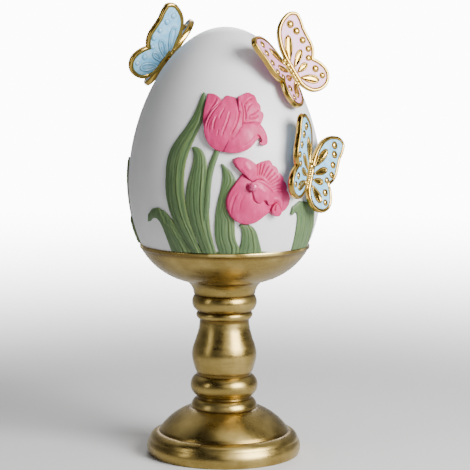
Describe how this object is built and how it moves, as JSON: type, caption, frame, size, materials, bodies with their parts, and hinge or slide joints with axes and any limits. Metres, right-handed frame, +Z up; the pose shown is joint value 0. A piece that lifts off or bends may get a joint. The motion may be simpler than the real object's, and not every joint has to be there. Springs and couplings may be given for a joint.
{
  "type": "decorative egg on stand",
  "caption": "Ornamental white egg seated in a turned gold pedestal cup, with tulips and leaves in relief and enamelled butterflies perched on the shell.",
  "frame": {"origin": "on the pedestal's axis, on the table under the felt pad", "axes": "+Z up along the pedestal and the egg, -Y to the front with the tulips, +X to the right of the front"},
  "size_m": [0.1463, 0.1392, 0.3052],
  "materials": {
    "felt": "short wool felt",
    "antique_gold": "cast resin with satin antique gold leaf paint, brighter on the high lines and olive brown in the quirks",
    "egg_white": "cast resin, smooth satin white paint",
    "tulip_pink": "cast resin, satin pink paint with paler worn edges",
    "leaf_green": "cast resin, muted green paint with an olive wash in the grooves",
    "clear_bead": "clear glossy bead",
    "bright_gold": "cast metal, polished gold plate",
    "enamel_pink": "soft pink enamel",
    "enamel_blue": "soft sky blue enamel"
  },
  "bodies": {
    "root": {"butterfly_blue_left": "bright_gold", "butterfly_blue_left_enamel_under": "enamel_blue", "butterfly_blue_left_enamel_upper": "enamel_blue", "butterfly_blue_right": "bright_gold", "butterfly_blue_right_enamel_under": "enamel_blue", "butterfly_blue_right_enamel_upper": "enamel_blue", "butterfly_pink": "bright_gold", "butterfly_pink_enamel_under": "enamel_pink", "butterfly_pink_enamel_upper": "enamel_pink", "dew_bead": "clear_bead", "egg_shell": "egg_white", "felt_pad": "felt", "leaf_back_centre": "leaf_green", "leaf_back_curl": "leaf_green", "leaf_back_mid": "leaf_green", "leaf_back_short": "leaf_green", "leaf_back_side": "leaf_green", "leaf_back_tall": "leaf_green", "leaf_centre": "leaf_green", "leaf_curl_left": "leaf_green", "leaf_curl_right": "leaf_green", "leaf_mid": "leaf_green", "leaf_short": "leaf_green", "leaf_side_curl": "leaf_green", "leaf_side_left": "leaf_green", "leaf_tall": "leaf_green", "lower_cup_petal": "tulip_pink", "lower_fan_petal": "tulip_pink", "lower_fold_petal": "tulip_pink", "lower_small_curl": "tulip_pink", "lower_upper_petal": "tulip_pink", "pedestal": "antique_gold", "tulip_stem_upper": "leaf_green", "upper_curled_petal": "tulip_pink", "upper_front_petal": "tulip_pink", "upper_left_petal": "tulip_pink", "upper_ruffled_petal": "tulip_pink"}
  },
  "joints": []
}
